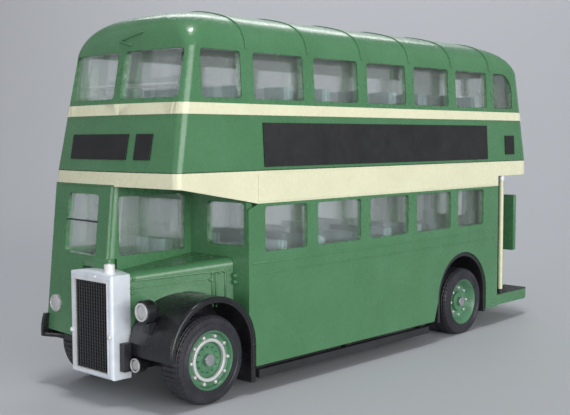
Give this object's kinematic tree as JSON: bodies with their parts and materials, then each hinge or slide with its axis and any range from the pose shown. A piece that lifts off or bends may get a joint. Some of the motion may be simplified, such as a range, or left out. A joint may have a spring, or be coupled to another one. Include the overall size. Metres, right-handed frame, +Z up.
{
  "type": "double decker bus model",
  "caption": "Die-cast half-cab double decker bus model with an open rear platform, clear glazing, saloon seats and turning wheels.",
  "frame": {"origin": "centre of the bounding box at the foot of the tyres", "axes": "+X to the nearside, +Y to the rear platform, +Z up; the radiator faces -Y"},
  "size_m": [0.0304, 0.105, 0.0597],
  "materials": {
    "body_green": "satin green enamel on the castings, with cream bands",
    "chassis_black": "semi-matt black moulding",
    "wing_black": "gloss black moulding",
    "radiator_silver": "bright silver paint",
    "radiator_black": "dark ribbed moulding",
    "wheel_green": "satin green moulding with a silver ring and nuts",
    "tyre_black": "black rubber tyre",
    "axle_steel": "plain steel rod",
    "clear_plastic": "clear moulding",
    "seat_grey": "bluish grey moulding",
    "pole_cream": "cream enamel",
    "board_black": "blank black board",
    "lamp_silver": "silver paint"
  },
  "bodies": {
    "bus_body": {"upper_body": "body_green", "lower_body": "body_green", "bonnet": "body_green", "radiator_shell": "radiator_silver", "radiator_core": "radiator_black", "filler_cap": "radiator_silver", "front_wing_nearside": "wing_black", "front_wing_offside": "wing_black", "rear_wing_nearside": "chassis_black", "rear_wing_offside": "chassis_black", "base_plate": "chassis_black", "platform": "chassis_black", "platform_pole": "pole_cream", "life_rail_nearside": "chassis_black", "life_rail_offside": "chassis_black", "lower_saloon": "seat_grey", "upper_saloon": "seat_grey", "staircase": "seat_grey", "driver_seat": "seat_grey", "steering_wheel": "chassis_black", "upper_glazing": "clear_plastic", "lower_glazing": "clear_plastic", "cab_glazing": "clear_plastic", "bulkhead_glazing": "clear_plastic", "rear_glazing": "clear_plastic", "side_board_nearside": "board_black", "side_board_offside": "board_black", "front_blinds": "board_black", "headlamp_bowl": "wing_black", "headlamp_lens": "lamp_silver", "fog_lamp_bowl": "wing_black", "fog_lamp_lens": "lamp_silver", "cab_headlamp": "lamp_silver"},
    "front_wheelset": {"front_axle": "axle_steel", "front_wheel_nearside": "wheel_green", "front_wheel_offside": "wheel_green", "front_tyre_nearside": "tyre_black", "front_tyre_offside": "tyre_black"},
    "rear_wheelset": {"rear_axle": "axle_steel", "rear_wheel_nearside": "wheel_green", "rear_wheel_offside": "wheel_green", "rear_tyre_nearside": "tyre_black", "rear_tyre_offside": "tyre_black"}
  },
  "joints": [
    {"name": "front_axle_spin", "type": "hinge", "parent": "bus_body", "child": "front_wheelset", "pos_m": [0, -0.0417, 0.00672], "axis": [1, 0, 0], "continuous": true},
    {"name": "rear_axle_spin", "type": "hinge", "parent": "bus_body", "child": "rear_wheelset", "pos_m": [0, 0.0266, 0.00672], "axis": [1, 0, 0], "continuous": true}
  ]
}
